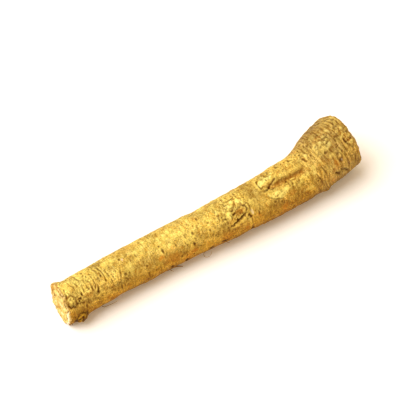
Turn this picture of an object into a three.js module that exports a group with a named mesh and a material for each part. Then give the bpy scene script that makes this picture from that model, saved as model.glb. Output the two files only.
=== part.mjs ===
// A trimmed horseradish root lying on its side: a long tapering tap root that grew as one piece, with a
// cut tip at -X, a thicker head (the crown) at +X that leans towards +Y, and an underside worn flat where
// it rests. Millimetres, +Z up, origin at the middle of the footprint.
//
// A place on the skin is given by `at`, the distance along the root from the tip, and `turn`, the angle
// round it: 0 is the top, 90 the front (-Y), 180 the underside and -90 the back (+Y).
import * as THREE from "three";

// Driving dimensions.
const ROOT_LENGTH = 280;
const STATIONS = [
  // at: distance from the tip; side: how far the middle of the root lies towards +Y; girth: its diameter
  { at: 0, side: 5.1, girth: 33.6 },
  { at: 40, side: 5.3, girth: 34.2 },
  { at: 91, side: 5, girth: 33.9 },
  { at: 146, side: 2.1, girth: 35.9 },
  { at: 197, side: 0.4, girth: 38.3 },
  { at: 234, side: 0.9, girth: 41.5 },
  { at: 258, side: 5, girth: 49.5 },
  { at: ROOT_LENGTH, side: 10, girth: 52.6 },
];
const FLAT_DEPTH = 0.9; // how much of the round underside is missing where the root rests
const OVALITY = 0.008; // the section is this much taller or wider than round, turning along the root
const OVAL_TWIST = 1.4; // degrees that the oval turns per millimetre along the root

// The tip was cut a little aslant: the cut stands out at this turn, and in by as much opposite.
const TIP_SLANT = 2;
const TIP_SLANT_TURN = 155;
const TIP_SLANT_REACH = 16; // the slant fades out over this length of the root

// The head was trimmed from two sides, so its rim stands back at this turn and opposite it.
const CROWN_SADDLE = 1.8;
const CROWN_SADDLE_TURN = 55;
const CROWN_SADDLE_REACH = 14;

// Each cut end, from its edge to its middle: how far in (as a part of the radius) and how far out (mm).
const TIP_FACE = [
  { inward: 0.05, outward: 0.6 },
  { inward: 0.3, outward: 1.1 },
  { inward: 0.65, outward: 1.5 },
];
const CROWN_FACE = [
  { inward: 0.04, outward: 1 },
  { inward: 0.14, outward: 1.8 },
  { inward: 0.42, outward: 2.2 },
  { inward: 0.72, outward: 2.4 },
];

// Smooth swellings (rise above 0) and hollows (below 0), with their size along and round the root.
const SWELLINGS = [
  { name: "lip of the tip cut", at: 0, turn: -62, along: 5, round: 12, rise: 2.4 },
  { name: "side root stub", at: 9.5, turn: 112, along: 6, round: 6.5, rise: 3.2 },
  { name: "knob by the tip cut", at: 4, turn: 38, along: 4, round: 4.5, rise: 1.1 },
  { name: "pinch behind the tip", at: 27, turn: 34, along: 7, round: 14, rise: -0.5 },
  { name: "dip in front of the belly", at: 51, turn: 112, along: 8, round: 9, rise: -0.8 },
  { name: "belly", at: 79, turn: 112, along: 9, round: 10, rise: 0.8 },
  { name: "side root stub at the back", at: 118, turn: -115, along: 7, round: 7, rise: 2 },
  { name: "pinch at the back", at: 133, turn: -62, along: 6, round: 10, rise: -0.7 },
  { name: "swelling round the broken side root", at: 162, turn: 30, along: 12, round: 13, rise: 1.1 },
  { name: "hollow of the broken side root", at: 163, turn: 38, along: 6, round: 5.5, rise: -1.4 },
  { name: "swelling under the broken side root", at: 157, turn: 108, along: 8, round: 10, rise: 0.7 },
  { name: "crease behind the broken side root", at: 174, turn: 92, along: 3, round: 14, rise: -0.9 },
  { name: "heel", at: 194, turn: 112, along: 8, round: 10, rise: 0.8 },
  { name: "raised bark patch", at: 198, turn: -14, along: 8, round: 8.5, rise: 1.1 },
  { name: "swelling below the groove", at: 204, turn: 42, along: 11, round: 8, rise: 1 },
  { name: "shoulder at the back", at: 214, turn: -66, along: 7, round: 12, rise: 0.7 },
  { name: "shoulder hollow", at: 246, turn: -58, along: 7, round: 10, rise: -0.6 },
  { name: "nub under the head", at: 244, turn: 110, along: 4, round: 4.5, rise: 1.4 },
  { name: "front hollow of the head", at: 243, turn: 70, along: 8, round: 9, rise: -0.6 },
  { name: "bud cluster", at: 258, turn: 8, along: 7, round: 8, rise: 1 },
  { name: "bud at the back of the head", at: 250, turn: -128, along: 8, round: 10, rise: 1.8 },
];

// The furrow that runs along the top of the shoulder, fading out at both ends.
const FURROW = { start: 193, end: 236, turn: 14, width: 3.2, depth: 2.4, fade: 7 };

const RING_COUNT = 80;
const POINTS_AROUND = 36;

const SKIN = new THREE.MeshStandardMaterial({ color: 0xd3a44c, roughness: 0.75, metalness: 0 });

// A smooth curve through the stations' values of `key`, read at a distance along the root.
function alongStations(key, at) {
  const last = STATIONS.length - 1;
  const slope = (i) => {
    const before = STATIONS[Math.max(i - 1, 0)];
    const after = STATIONS[Math.min(i + 1, last)];
    return (after[key] - before[key]) / (after.at - before.at);
  };
  let i = 0;
  while (i < last - 1 && at > STATIONS[i + 1].at) i += 1;
  const [from, to] = [STATIONS[i], STATIONS[i + 1]];
  const span = to.at - from.at;
  const t = (at - from.at) / span;
  const rest = 1 - t;
  return (
    from[key] * rest * rest * (1 + 2 * t) +
    to[key] * t * t * (1 + 2 * rest) +
    span * t * rest * (slope(i) * rest - slope(i + 1) * t)
  );
}

// The signed angle from one turn to another, in degrees between -180 and 180.
function turnBetween(from, to) {
  return THREE.MathUtils.euclideanModulo(to - from + 180, 360) - 180;
}

function bellCurve(distance, size) {
  return Math.exp(-((distance / size) ** 2));
}

// How far the skin stands out from the plain round section at one place.
function relief(at, turn, radius) {
  const arc = (other) => THREE.MathUtils.degToRad(turnBetween(other, turn)) * radius;
  let height = radius * OVALITY * Math.cos(2 * THREE.MathUtils.degToRad(turn - at * OVAL_TWIST));
  for (const s of SWELLINGS) {
    height += s.rise * bellCurve(at - s.at, s.along) * bellCurve(arc(s.turn), s.round);
  }
  const inFurrow =
    THREE.MathUtils.smoothstep(at, FURROW.start, FURROW.start + FURROW.fade) *
    (1 - THREE.MathUtils.smoothstep(at, FURROW.end - FURROW.fade, FURROW.end));
  return height - FURROW.depth * inFurrow * bellCurve(arc(FURROW.turn), FURROW.width);
}

// The section at a distance from the tip: its middle, its radius and its directions.
function sectionAt(at) {
  const step = 0.5;
  const side = alongStations("side", at);
  const before = Math.max(at - step, 0);
  const after = Math.min(at + step, ROOT_LENGTH);
  const lean = (alongStations("side", after) - alongStations("side", before)) / (after - before);
  const radius = alongStations("girth", at) / 2;
  const axis = new THREE.Vector3(1, lean, 0).normalize();
  return {
    at,
    radius,
    middle: new THREE.Vector3(at, side, radius - FLAT_DEPTH),
    axis,
    front: new THREE.Vector3(axis.y, -axis.x, 0),
  };
}

// One ring of points round a section, drawn in by `inward` and moved along the axis by `outward`.
function ringOf(section, inward, outward) {
  const points = [];
  const slant = TIP_SLANT * (1 - THREE.MathUtils.smoothstep(section.at, 0, TIP_SLANT_REACH));
  const saddleStart = ROOT_LENGTH - CROWN_SADDLE_REACH;
  const saddle = CROWN_SADDLE * THREE.MathUtils.smoothstep(section.at, saddleStart, ROOT_LENGTH);
  for (let i = 0; i < POINTS_AROUND; i += 1) {
    const turn = (360 * i) / POINTS_AROUND;
    const angle = THREE.MathUtils.degToRad(turn);
    const reach = (section.radius + relief(section.at, turn, section.radius)) * (1 - inward);
    const fromSlant = THREE.MathUtils.degToRad(turn - TIP_SLANT_TURN);
    const fromSaddle = THREE.MathUtils.degToRad(turn - CROWN_SADDLE_TURN);
    const cut = slant * Math.cos(fromSlant) + saddle * Math.cos(2 * fromSaddle);
    const point = section.middle
      .clone()
      .addScaledVector(section.front, reach * Math.sin(angle))
      .addScaledVector(section.axis, outward - cut * (1 - inward));
    point.z = Math.max(point.z + reach * Math.cos(angle), 0);
    points.push(point);
  }
  return points;
}

function rootGeometry() {
  const rings = [];
  const tip = sectionAt(0);
  const crown = sectionAt(ROOT_LENGTH);
  for (const { inward, outward } of [...TIP_FACE].reverse()) {
    rings.push(ringOf(tip, inward, -outward));
  }
  for (let i = 0; i < RING_COUNT; i += 1) {
    rings.push(ringOf(sectionAt((ROOT_LENGTH * i) / (RING_COUNT - 1)), 0, 0));
  }
  for (const { inward, outward } of CROWN_FACE) {
    rings.push(ringOf(crown, inward, outward));
  }

  const middleOf = (ring) =>
    ring.reduce((sum, p) => sum.add(p), new THREE.Vector3()).divideScalar(POINTS_AROUND);
  const points = [middleOf(rings[0]), ...rings.flat(), middleOf(rings.at(-1))];
  const tipMiddle = 0;
  const crownMiddle = points.length - 1;
  const index = (ring, i) => 1 + ring * POINTS_AROUND + (i % POINTS_AROUND);
  const faces = [];
  for (let i = 0; i < POINTS_AROUND; i += 1) {
    faces.push(tipMiddle, index(0, i + 1), index(0, i));
    for (let ring = 0; ring < rings.length - 1; ring += 1) {
      const [a, b] = [index(ring, i), index(ring, i + 1)];
      const [c, d] = [index(ring + 1, i), index(ring + 1, i + 1)];
      faces.push(a, b, d);
      faces.push(a, d, c);
    }
    faces.push(crownMiddle, index(rings.length - 1, i), index(rings.length - 1, i + 1));
  }

  const geometry = new THREE.BufferGeometry().setFromPoints(points);
  geometry.setIndex(faces);
  geometry.computeVertexNormals();
  geometry.computeBoundingBox();
  const middle = geometry.boundingBox.getCenter(new THREE.Vector3());
  return geometry.translate(-middle.x, -middle.y, 0);
}

const root = new THREE.Mesh(rootGeometry(), SKIN);
root.name = "horseradish_root";

const part = new THREE.Group();
part.add(root);

export default part;
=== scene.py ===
"""The looks of a trimmed horseradish root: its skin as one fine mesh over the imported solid, its hair
roots, their materials, the floor, the light and the camera.

Shapes are worked out in millimetres and scaled to metres when a mesh is made. A place on the skin is
given by `at`, the distance along the root from the tip, and `turn`, the angle round it in degrees:
0 is the top, 90 the front (-Y), 180 the underside and -90 the back (+Y).
"""

import math

import bpy
import numpy as np
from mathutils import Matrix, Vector


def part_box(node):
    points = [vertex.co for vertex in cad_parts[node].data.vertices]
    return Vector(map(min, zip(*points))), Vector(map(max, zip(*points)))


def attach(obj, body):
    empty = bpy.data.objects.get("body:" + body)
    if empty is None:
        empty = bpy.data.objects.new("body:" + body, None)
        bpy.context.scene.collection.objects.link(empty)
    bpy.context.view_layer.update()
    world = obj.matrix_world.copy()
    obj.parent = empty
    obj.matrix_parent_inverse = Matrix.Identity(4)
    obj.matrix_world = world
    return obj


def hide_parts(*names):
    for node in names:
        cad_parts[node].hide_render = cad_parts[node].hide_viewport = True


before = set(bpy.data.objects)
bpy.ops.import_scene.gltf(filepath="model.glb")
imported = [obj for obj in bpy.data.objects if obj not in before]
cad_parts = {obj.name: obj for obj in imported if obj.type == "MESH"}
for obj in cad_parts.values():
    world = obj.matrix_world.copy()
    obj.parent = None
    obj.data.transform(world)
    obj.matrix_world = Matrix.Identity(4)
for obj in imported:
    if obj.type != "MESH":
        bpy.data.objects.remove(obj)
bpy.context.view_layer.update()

NODE, BODY = "horseradish_root", "root"
MM = 0.001

# ---- The root's form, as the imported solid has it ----

ROOT_LENGTH = 280.0
# distance from the tip, how far the middle lies towards +Y, and the girth (a diameter)
STATIONS = np.array([
    (0, 5.1, 33.6), (40, 5.3, 34.2), (91, 5, 33.9), (146, 2.1, 35.9),
    (197, 0.4, 38.3), (234, 0.9, 41.5), (258, 5, 49.5), (ROOT_LENGTH, 10, 52.6),
])
FLAT_DEPTH = 0.9
OVALITY, OVAL_TWIST = 0.008, 1.4
TIP_SLANT, TIP_SLANT_TURN, TIP_SLANT_REACH = 2.0, 155, 16
CROWN_SADDLE, CROWN_SADDLE_TURN, CROWN_SADDLE_REACH = 1.8, 55, 14
KNOB_TURN, KNOB_OVERHANG = 40, 2.0
# The waves that make the rims ragged: how many round the rim, where they start, and their size in mm.
CUT_WAVES = [(5, 40, 0.25), (9, 200, 0.25), (14, 75, 0.22), (23, 310, 0.2), (31, 130, 0.16)]
# from the rim to the middle: how far in, as a part of the radius, and how far out in mm
TIP_FACE = np.array([(0, 0), (0.05, 0.6), (0.3, 1.1), (0.65, 1.5), (1, 1.6)])
CROWN_FACE = np.array([(0, 0), (0.04, 1.0), (0.14, 1.8), (0.42, 2.2), (0.72, 2.4), (1, 2.4)])

# at, turn, size along, size round, rise
SWELLINGS = [
    (0, -62, 5, 12, 2.4),  # lip of the tip cut
    (9.5, 112, 6, 6.5, 3.2),  # side root stub
    (4, 38, 4, 4.5, 1.1),  # knob by the tip cut
    (27, 34, 7, 14, -0.5),  # pinch behind the tip
    (118, -115, 7, 7, 2.0),  # side root stub at the back
    (162, 30, 12, 13, 1.1), (163, 38, 6, 5.5, -1.0),  # round the broken side root
    (198, -14, 8, 8.5, 0.5),  # raised bark plate
    (244, 110, 4, 4.5, 1.4),  # nub under the head
    (258, 8, 7, 8, 1.0),  # bud cluster
    (51, 112, 8, 9, -0.8), (79, 112, 9, 10, 0.8), (133, -62, 6, 10, -0.7), (157, 108, 8, 10, 0.7),
    (174, 92, 3, 14, -0.5), (194, 112, 8, 10, 0.8), (204, 42, 11, 8, 1.0), (214, -66, 7, 12, 0.7),
    (246, -58, 7, 10, -0.6), (243, 70, 8, 9, -0.6), (250, -128, 8, 10, 1.8),
]
FURROW_START, FURROW_END, FURROW_TURN = 193, 236, 14
FURROW_FADE_IN, FURROW_FADE_OUT = 9, 7
FURROW_WIDTH, FURROW_DEPTH = 3.4, 2.8
RING_SLANT, RING_TURN = 0.26, 27  # how the head's rings lean before they meet the cut
# Pairs of a distance along the root and a strength: where the bark is less mottled, and where painted
# light makes the front paler.
CALM = np.array([(45, 0), (58, 0.6), (95, 0.6), (112, 0.35), (150, 0.35), (172, 0.2), (179, 1), (187, 1),
                 (196, 0)])
PAINTED_FRONT_LIGHT = np.array([(0, 0.25), (60, 0.6), (140, 0.6), (170, 0.25), (235, 0.2), (255, 1)])

# The mesh: rings along the side and on each cut end, and points round each ring.
SIDE_RINGS, TIP_RINGS, CROWN_RINGS = 462, 30, 26
POINTS_AROUND = 190


def smoothstep(low, high, x):
    t = np.clip((x - low) / (high - low), 0, 1)
    return t * t * (3 - 2 * t)


def bell(distance, size):
    return np.exp(-((distance / size) ** 2))


def turn_between(start, turn):
    """The signed angle from one turn to another, between -180 and 180 degrees."""
    return (turn - start + 180) % 360 - 180


def through(points, x):
    """Smooth curves through a table whose first column is x: one result for each other column."""
    knots = points[:, 0]
    first, last = points[[0, *range(len(points) - 1)]], points[[*range(1, len(points)), -1]]
    slopes = (last - first) / (last - first)[:, :1]
    i = np.clip(np.searchsorted(knots, x, side="right") - 1, 0, len(knots) - 2)
    span = knots[i + 1] - knots[i]
    t = (x - knots[i]) / span
    rest = 1 - t
    return [
        points[i, c] * rest * rest * (1 + 2 * t)
        + points[i + 1, c] * t * t * (1 + 2 * rest)
        + span * t * rest * (slopes[i, c] * rest - slopes[i + 1, c] * t)
        for c in range(1, points.shape[1])
    ]


class Noise:
    """Smooth gradient noise in space, about -1 to 1, the same on every run."""

    def __init__(self, seed):
        rng = np.random.default_rng(seed)
        self.order = rng.permutation(256)
        ways = rng.normal(size=(256, 3))
        self.ways = ways / np.linalg.norm(ways, axis=1)[:, None]

    def __call__(self, points):
        cell = np.floor(points).astype(int)
        inside = points - cell
        ease = inside**3 * (inside * (inside * 6 - 15) + 10)
        total = 0.0
        for corner in np.ndindex(2, 2, 2):
            mixed = 0
            for axis in range(3):
                mixed = self.order[(mixed + cell[..., axis] + corner[axis]) & 255]
            weight = np.prod(np.where(corner, ease, 1 - ease), axis=-1)
            total = total + weight * (self.ways[mixed] * (inside - corner)).sum(-1)
        return total * 1.6

    def rough(self, points, size, octaves=3, gain=0.5):
        """Noise with `octaves` layers, the widest with features about `size` mm apart."""
        scale = 1 / np.asarray(size, float)
        total, strength = 0.0, 1.0
        for layer in range(octaves):
            total = total + strength * self(points * scale * 2**layer + 17.3 * layer)
            strength *= gain
        return total


# ---- Marks on the skin ----

LAYERS = ("dark", "olive", "orange", "pale", "glint", "white", "crumbly")
# What the mesh carries for the material.
MARKS = (*LAYERS[:-1], "crevice_shade_and_streaks", "ridge_highlight", "duller", "head", "ringed", "ring_at", "calm", "front",
         "under", "bottom_shade", "inward", "flesh", "crown_end")
WOBBLE_SIZE, WOBBLE_REACH = 6, 1.1  # mm: how wide and how far the marks' outlines wander


class Skin:
    """The side of the root as a grid of places, and what the marks add at each one.

    form and height are in mm over the plain section: the smooth shape and the fine one. Each layer runs
    from 0 to 1: dark is painted shade in hollows, creases and pits, and dark spots and lines; olive and
    orange are stains; pale is bare, paler bark and, on raised places, painted highlight; glint is painted
    highlight; white is bare or scraped places; and crumbly is flaky bark.
    """

    def __init__(self, at, turn, radius, places):
        self.at, self.turn, self.radius, self.places = at, turn, radius, places
        self.form, self.height = np.zeros_like(at), np.zeros_like(at)
        self.layers = {layer: np.zeros_like(at) for layer in LAYERS}
        self.wobble_at = Noise(5).rough(places, WOBBLE_SIZE, 4, 0.6) * WOBBLE_REACH
        self.wobble_arc = Noise(6).rough(places, WOBBLE_SIZE, 4, 0.6) * WOBBLE_REACH
        self.whole = np.clip(0.72 + 0.95 * Noise(7).rough(places, 3.6, 2), 0, 1.2)  # where lines show

    def rows(self, ats, margin):
        """The grid's rows that lie within a margin of some distances."""
        return slice(*np.searchsorted(self.at[:, 0], (np.min(ats) - margin, np.max(ats) + margin)))

    def offsets(self, rows, at, turn, wobble):
        """How far each place is from (at, turn) along and round the root, in wobbly millimetres."""
        along = self.at[rows] - at + wobble * self.wobble_at[rows]
        arc = np.radians(turn_between(turn, self.turn[rows])) * self.radius[rows]
        return along, arc + wobble * self.wobble_arc[rows]

    def near(self, rows, at, turn, along, around, wobble):
        """How far each place is from (at, turn), in units of a mark's size along and round the root."""
        a, b = self.offsets(rows, at, turn, wobble)
        return np.hypot(a / along, b / around)

    def beside(self, rows, path, wobble):
        """The signed distance from a path, above 0 on its left, and how far along the path, 0 to 1."""
        a, b = self.offsets(rows, *path[0], wobble)
        per_degree = np.radians(self.radius[rows])
        nearest, along = np.full_like(a, 1e9), np.zeros_like(a)
        for i, (start, end) in enumerate(zip(path, path[1:])):
            a0, b0 = start[0] - path[0][0], (start[1] - path[0][1]) * per_degree
            da, db = end[0] - start[0], (end[1] - start[1]) * per_degree
            t = np.clip(((a - a0) * da + (b - b0) * db) / (da**2 + db**2), 0, 1)
            off_a, off_b = a - a0 - t * da, b - b0 - t * db
            distance = np.hypot(off_a, off_b) * np.where(da * off_b - db * off_a < 0, 1, -1)
            closer = np.abs(distance) < np.abs(nearest)
            nearest = np.where(closer, distance, nearest)
            along = np.where(closer, (i + t) / (len(path) - 1), along)
        return nearest, along

    def shade(self, layer, value, rows=slice(None)):
        self.layers[layer][rows] = np.maximum(self.layers[layer][rows], value)

    def crease(self, path, width, depth, dark=0.6, wobble=0.4, lip=0.0, firm=0.0):
        """A groove along a path of (at, turn) places, with raised lips. It comes and goes unless firm."""
        rows = self.rows([at for at, _ in path], 3 + 3 * width)
        side, along = self.beside(rows, path, wobble)
        whole = np.maximum(self.whole[rows], firm)
        strength = (4 * along * (1 - along)) ** 0.45 * whole
        side = side / (0.7 + 0.4 * whole)
        self.height[rows] -= depth * bell(side, width) * strength
        self.height[rows] += lip * bell(np.abs(side) - 1.8 * width, width) * strength
        # Painted shade darkens the groove; on shallow ones it also stands for the bark's dark lines.
        self.shade("dark", dark * bell(side, width) * strength, rows)

    def ledge(self, path, rise, reach, dark=0.6, wobble=0.5):
        """A flake's edge: bark that is raised on the left of a path and slopes back over its reach."""
        rows = self.rows([at for at, _ in path], 2 + 2 * reach)
        side, along = self.beside(rows, path, wobble)
        strength = (4 * along * (1 - along)) ** 0.3
        raised = np.where(side > 0, bell(side, reach), smoothstep(-0.7, 0, side))
        self.height[rows] += rise * raised * strength
        strength = strength * self.whole[rows]
        # Painted shadow at the foot of the edge and painted highlight on its raised side.
        self.shade("dark", dark * bell(side + 0.7, 0.6) * strength, rows)
        self.shade("pale", 0.6 * bell(side - 0.5, 0.7) * strength, rows)

    def pit(self, at, turn, size, depth, rim=0.0, stretch=1.0, dark=0.8):
        rows = self.rows(at, 4 * size + 2)
        d = self.near(rows, at, turn, size, size * stretch, 0.3)
        self.height[rows] += rim * bell(d - 1.5, 0.6) - depth * bell(d, 0.9)
        # Painted shade in the pit, which also stands for dark pores and spots.
        self.shade("dark", dark * bell(d, 0.95), rows)

    def bump(self, at, turn, size, rise, stretch=1.0, wobble=0.4):
        rows = self.rows(at, 3 * size + 2)
        self.height[rows] += rise * bell(self.near(rows, at, turn, size, size * stretch, wobble), 1)

    def stain(self, layer, at, turn, along, around, strength, wobble=1.2):
        rows = self.rows(at, 1.4 * along + 3)
        d = self.near(rows, at, turn, along, around, wobble)
        self.shade(layer, strength * (1 - smoothstep(0.45, 1.25, d)), rows)

    # A patch is a stain, or a painted highlight or painted shade, by its layer and place.
    def stains(self, **layers):
        """Patches of several layers, each at, turn, size along, size round, strength and maybe wobble."""
        for layer, stains in layers.items():
            for stain in stains:
                self.stain(layer, *stain)

    def highlighted_bumps(self, bumps, pale, wobble):
        """Bumps whose pale tops are painted highlights."""
        for at, turn, size, rise, stretch in bumps:
            self.bump(at, turn, size, rise, stretch)
            self.stain("pale", at, turn, size, size * stretch, pale, wobble)

    def mound(self, at, turn, along, around, rise, wobble):
        """A torn lump. Gives the rows it lies in, and each place's distance in the lump's sizes."""
        rows = self.rows(at, 2 * along + 3)
        d = self.near(rows, at, turn, along, around, wobble)
        self.height[rows] += rise * (1 - smoothstep(0.5, 1.3, d))
        return rows, d


def plain_relief(at, turn, radius):
    """The smooth swellings that the solid has too."""
    height = radius * OVALITY * np.cos(2 * np.radians(turn - at * OVAL_TWIST))
    for s_at, s_turn, along, around, rise in SWELLINGS:
        arc = np.radians(turn_between(s_turn, turn)) * radius
        height = height + rise * bell(at - s_at, along) * bell(arc, around)
    return height


def tip_wrinkles(skin):
    """The tight wrinkles behind the tip cut, and the pits in them."""
    for path, width, depth in [
        ([(21.8, -4), (21.9, 8), (21.3, 22), (22, 32)], 0.55, 0.7),
        ([(28.6, -4), (28.6, 8), (28.1, 26), (26.2, 40)], 0.5, 0.65),
        ([(30.3, 30), (29.4, 42), (28.3, 54)], 0.8, 0.8),
        ([(37.2, -20), (38.4, 4), (38.2, 34)], 0.55, 0.75),
        ([(36.3, -2), (36.2, 12), (37.2, 22)], 0.6, 0.5), ([(18.4, 8), (17.4, 30)], 0.5, 0.5),
        ([(14.9, 24), (14.4, 36)], 0.6, 0.6), ([(24.9, -28), (24.4, -14)], 0.5, 0.4),
        ([(13.3, -28), (14.3, -8), (14.2, 6)], 0.5, 0.4), ([(33.4, 8), (33, 26)], 0.55, 0.3),
        ([(43.8, 10), (44.6, 30), (46, 42)], 0.6, 0.35),
        ([(53.2, 16), (51.6, 32), (49.6, 48), (48.4, 70), (48.8, 92)], 0.8, 0.45),
        ([(11.8, -6), (11.4, 12)], 0.6, 0.35), ([(21, 36), (21.4, 50)], 0.6, 0.35),
        ([(41.3, -38), (40.9, -22)], 0.6, 0.3),
        ([(8.6, -30), (9.4, -14), (10.6, 0), (10.8, 16)], 0.55, 0.4),
        ([(17, -34), (18, -18), (18.8, -4)], 0.55, 0.45),
        ([(25.2, 2), (25.4, 16), (24.6, 32), (25.6, 48)], 0.55, 0.4),
        ([(33, -26), (34.4, -10), (34.8, 6)], 0.55, 0.4),
        ([(41, 2), (41.6, 18), (42.6, 34), (42.2, 52)], 0.55, 0.35),
        ([(16, 40), (17.6, 54), (17.4, 68)], 0.55, 0.35),
    ]:
        skin.crease(path, width, depth, dark=0.25 + 0.55 * depth, lip=0.35 * depth, firm=0.55)
    for row in [
        (22.1, 28, 0.9, 0.5), (38.1, 31, 1, 0.6), (28.3, 47, 1.1, 0.9, 0, 1.5, 1),
        (29.1, -8, 0.9, 0.35, 0, 1, 0.55), (36, 12, 0.9, 0.4),
    ]:
        skin.pit(*row)


def tip_knob(skin):
    """The knob beside the cut face: a torn olive lump with dark pits round it."""
    rows, knob = skin.mound(3.6, 36, 2.9, 3.8, 1.1, 1.3)
    skin.shade("dark", 0.5 * bell(knob - 1.3, 0.2) * skin.whole[rows], rows)
    skin.shade("olive", 1 - smoothstep(1.0, 1.9, knob), rows)
    # Bumps with painted highlights on their tops.
    for at, turn, size, stretch, strength in [
        (2.2, 27, 1, 1.2, 0.7), (4.6, 30, 0.8, 1, 0.5), (3.4, 40, 0.7, 1.4, 0.4),
        (5.8, 40, 0.9, 1.2, 0.4),
    ]:
        skin.bump(at, turn, size, 0.5, stretch)
        skin.stain("pale", at, turn, size, size * stretch, strength, 0.6)
    for at, turn, size, stretch in [
        (1, 45, 1.2, 1.4), (3.6, 49, 1.3, 1.2), (0.9, 16, 1, 2.2), (8, 49, 0.9, 1.2),
        (14.6, 32, 0.8, 1.5), (12.4, 40, 0.9, 0.8), (1.6, 52, 0.8, 1), (5.4, 33, 0.6, 0.8),
        (10.2, 45, 0.7, 1.2),
    ]:
        skin.pit(at, turn, size, 0.9, stretch=stretch, dark=0.95)
    skin.crease([(1.6, -8), (1.7, 4), (0.8, 12)], 0.6, 0.5, dark=0.5)
    skin.crease([(11.4, 53), (13.6, 56), (16.4, 51)], 0.7, 0.6, dark=0.7, lip=0.3)
    skin.crease([(9, 34), (12, 41), (15.5, 45)], 0.6, 0.5, dark=0.6, lip=0.2)


def tip_stub(skin):
    """The stub of a side root low on the front: a low, torn, earthy mound."""
    rows, stub = skin.mound(8.8, 101, 5.4, 4.4, 0.9, 1.6)
    skin.shade("olive", 0.9 * (1 - smoothstep(0.9, 1.5, stub)), rows)
    skin.shade("dark", 0.9 * bell(stub - 1.1, 0.16), rows)
    skin.shade("dark", 0.6 * bell(stub, 0.4), rows)
    skin.shade("crumbly", 1 - smoothstep(0.9, 1.5, stub), rows)
    for at, turn, size, stretch in [
        (6.6, 97, 1, 1.2), (9.2, 95, 0.9, 1.6), (8.6, 103, 1.2, 1.2), (11.8, 99, 0.9, 1),
        (5, 104, 1, 1.2), (11, 106, 1, 1.4),
    ]:
        skin.pit(at, turn, size, 0.7, stretch=stretch, dark=1)
    skin.highlighted_bumps(
        [(7.6, 99.5, 0.9, 0.6, 1), (10.4, 100, 0.9, 0.6, 1), (10.2, 92.5, 0.8, 0.6, 1),
         (6.2, 93, 0.8, 0.6, 1)], 0.8, 0.4)
    skin.crease([(12.6, 90), (13.8, 99), (13.2, 110)], 0.9, 0.7, dark=0.8, wobble=0.3)


def tip_rim(skin):
    """The rim stands back above the knob and reaches out into a wedge at the bottom."""
    skin.bump(27.4, 40, 1.5, 0.8)
    skin.bump(0, 30, 3.4, -1.7, 1.2)
    skin.bump(0, 134, 3.2, 1.8, 1.1)
    skin.bump(1, 100, 2.4, 0.7, 2)
    # The broad pale patch along the top is painted light, and the broad olive band along the front, at turn
    # 50, is painted shade.
    skin.stains(
        dark=[(3.4, 44, 2.4, 2, 0.55)],
        olive=[(11.5, 44, 5.5, 6, 0.9), (10, 74, 8, 5, 0.6), (5, 92, 7, 9, 0.8), (24, 50, 20, 6, 0.9, 2)],
        pale=[(24, -12, 20, 5, 0.4, 3)],
        crumbly=[(11.5, 42, 6, 6, 0.9), (3, 38, 4.5, 6, 1)],
    )


def scar_crumbs(skin):
    """The torn scar halfway, where a side root broke off: crumbly ridges round a hollow."""
    skin.bump(165.6, 33, 3.4, -1.1, 0.8)
    skin.highlighted_bumps([
        (155.6, 27, 2, 1.2, 1.5), (157.4, 18, 1.6, 0.6, 1), (160.5, 10, 1.6, 0.8, 0.8),
        (163.2, 0, 1.7, 0.9, 1), (168.6, 5, 1.9, 1, 1.3), (171.2, 13, 1.5, 0.7, 1),
        (173.2, 26, 1.3, 0.7, 1.4), (164.6, 57, 1.7, 0.9, 0.9), (168.6, 56, 1.3, 0.9, 1.1),
        (160.3, 61, 1.4, 0.5, 0.9), (166.5, 66, 1.8, 0.5, 1),
    ], 0.95, 0.5)
    for path, width, depth, dark in [
        ([(158, 20), (159.6, 22), (161.2, 18.5)], 0.6, 0.6, 0.8),
        ([(163.8, 23.5), (166, 21.5), (167.4, 22.5)], 0.6, 0.6, 0.7),
        ([(170.4, 25), (172, 21.5), (174.6, 20), (175.2, 26)], 0.6, 0.35, 0.4),
        ([(169.6, 20), (172, 24), (172.4, 32), (171, 38), (171.6, 44)], 0.7, 0.9, 1),
        ([(158.6, 32.5), (160.4, 31), (162, 27.5)], 0.9, 0.9, 0.75),
        ([(155.4, 9.5), (158.2, 10.5)], 0.7, 0.5, 0.6),
        ([(156.2, -12), (156.6, -4), (156.4, 3)], 0.6, 0.5, 0.8),
        ([(158, -11), (161.6, -9.4), (165.6, -9), (168.6, -2)], 0.6, 0.6, 0.9),
        ([(149.6, 31), (151.6, 32), (153.4, 35)], 0.6, 0.5, 0.65),
        ([(146.8, 12), (146.9, 22), (146.6, 34)], 0.6, 0.45, 0.65),
        ([(149.2, 18), (149.6, 28)], 0.55, 0.3, 0.45), ([(169, 55), (169.9, 61)], 0.6, 0.6, 0.6),
        ([(157.3, 33), (157, 42)], 0.6, 0.5, 0.5), ([(172.3, 46), (173, 53), (172.6, 60)], 1.1, 0.8, 0.7),
    ]:
        skin.crease(path, width, depth, dark=dark, wobble=0.3, lip=0.3 * depth, firm=0.6)


def scar_slit(skin):
    """The scar's long slit and the lobe under it."""
    skin.crease([(154.2, 55.5), (158, 54), (160.8, 50.6), (164.5, 50.2), (168.4, 46), (170.4, 41)],
                0.7, 1.7, dark=1, wobble=1.3, lip=0.4, firm=0.8)
    skin.crease([(162.6, 48.6), (166.2, 45), (169.4, 44)], 0.8, 0.8, dark=1, wobble=0.8, firm=0.7)
    for at, turn, size in [
        (154.8, 55.5, 0.9), (159, 53, 0.7), (162.6, 51, 0.9), (166.2, 47.6, 0.8), (169.4, 44, 0.7),
        (167.8, 38.8, 1), (161.2, 29.5, 1), (159.6, 31.5, 0.8), (172, 50, 1.2), (173.6, 57, 1.1),
        (151.6, 32.5, 0.8), (156.6, 0, 0.7),
    ]:
        skin.pit(at, turn, size, 0.5, stretch=0.8, dark=1)
    skin.ledge([(170.2, 48), (166, 52), (159, 56), (155, 58.5)], 0.7, 3, dark=0, wobble=0.2)


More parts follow.
